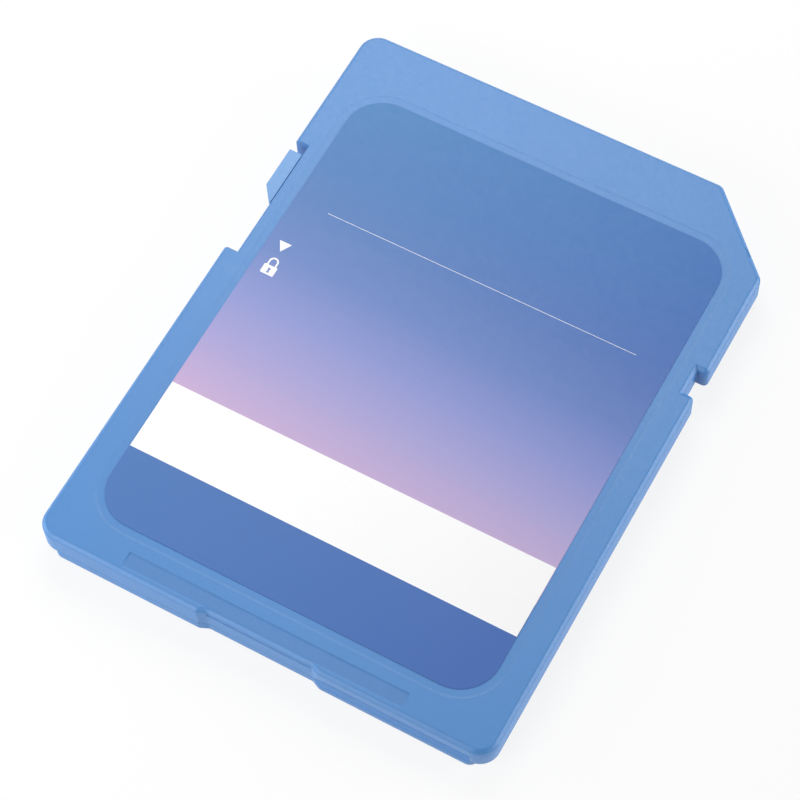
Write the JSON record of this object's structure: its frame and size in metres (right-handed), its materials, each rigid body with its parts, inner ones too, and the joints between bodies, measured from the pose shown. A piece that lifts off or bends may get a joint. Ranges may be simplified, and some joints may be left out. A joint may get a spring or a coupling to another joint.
{
  "type": "sd memory card",
  "caption": "Flat keyed memory card: a two-part moulded shell with a front label, a sliding write lock on one edge and rows of gold contacts behind windows at the leading end.",
  "frame": {"origin": "middle of the card's outline, on the back face that it lies on", "axes": "+X across the card towards the keyed corner, +Y towards the contact end, +Z out of the label face"},
  "size_m": [0.024, 0.032, 0.0021],
  "materials": {
    "shell": "satin moulded",
    "label_film": "printed film",
    "slider": "satin moulded",
    "board": "solder mask",
    "contact_gold": "gold plated",
    "package": "moulding compound",
    "chip_ceramic": "ceramic",
    "chip_resistor": "glazed"
  },
  "bodies": {
    "card": {"top_shell": "shell", "bottom_shell": "shell", "front_label": "label_film", "circuit_board": "board", "contact_1": "contact_gold", "contact_2": "contact_gold", "contact_3": "contact_gold", "contact_4": "contact_gold", "contact_5": "contact_gold", "contact_6": "contact_gold", "contact_7": "contact_gold", "contact_8": "contact_gold", "contact_9": "contact_gold", "contact_10": "contact_gold", "contact_11": "contact_gold", "contact_12": "contact_gold", "contact_13": "contact_gold", "contact_14": "contact_gold", "contact_15": "contact_gold", "contact_16": "contact_gold", "contact_17": "contact_gold", "flash_package": "package", "controller_chip": "package", "capacitor_1": "chip_ceramic", "capacitor_2": "chip_ceramic", "capacitor_3": "chip_ceramic", "capacitor_4": "chip_ceramic", "capacitor_5": "chip_ceramic", "capacitor_6": "chip_ceramic", "resistor_1": "chip_resistor", "resistor_2": "chip_resistor", "resistor_3": "chip_resistor", "resistor_4": "chip_resistor"},
    "slider": {"lock_slider": "slider"}
  },
  "joints": [
    {"name": "lock_slide", "type": "slide", "parent": "card", "child": "slider", "axis": [0, -1, 0], "range_m": [0, 0.0029]}
  ]
}
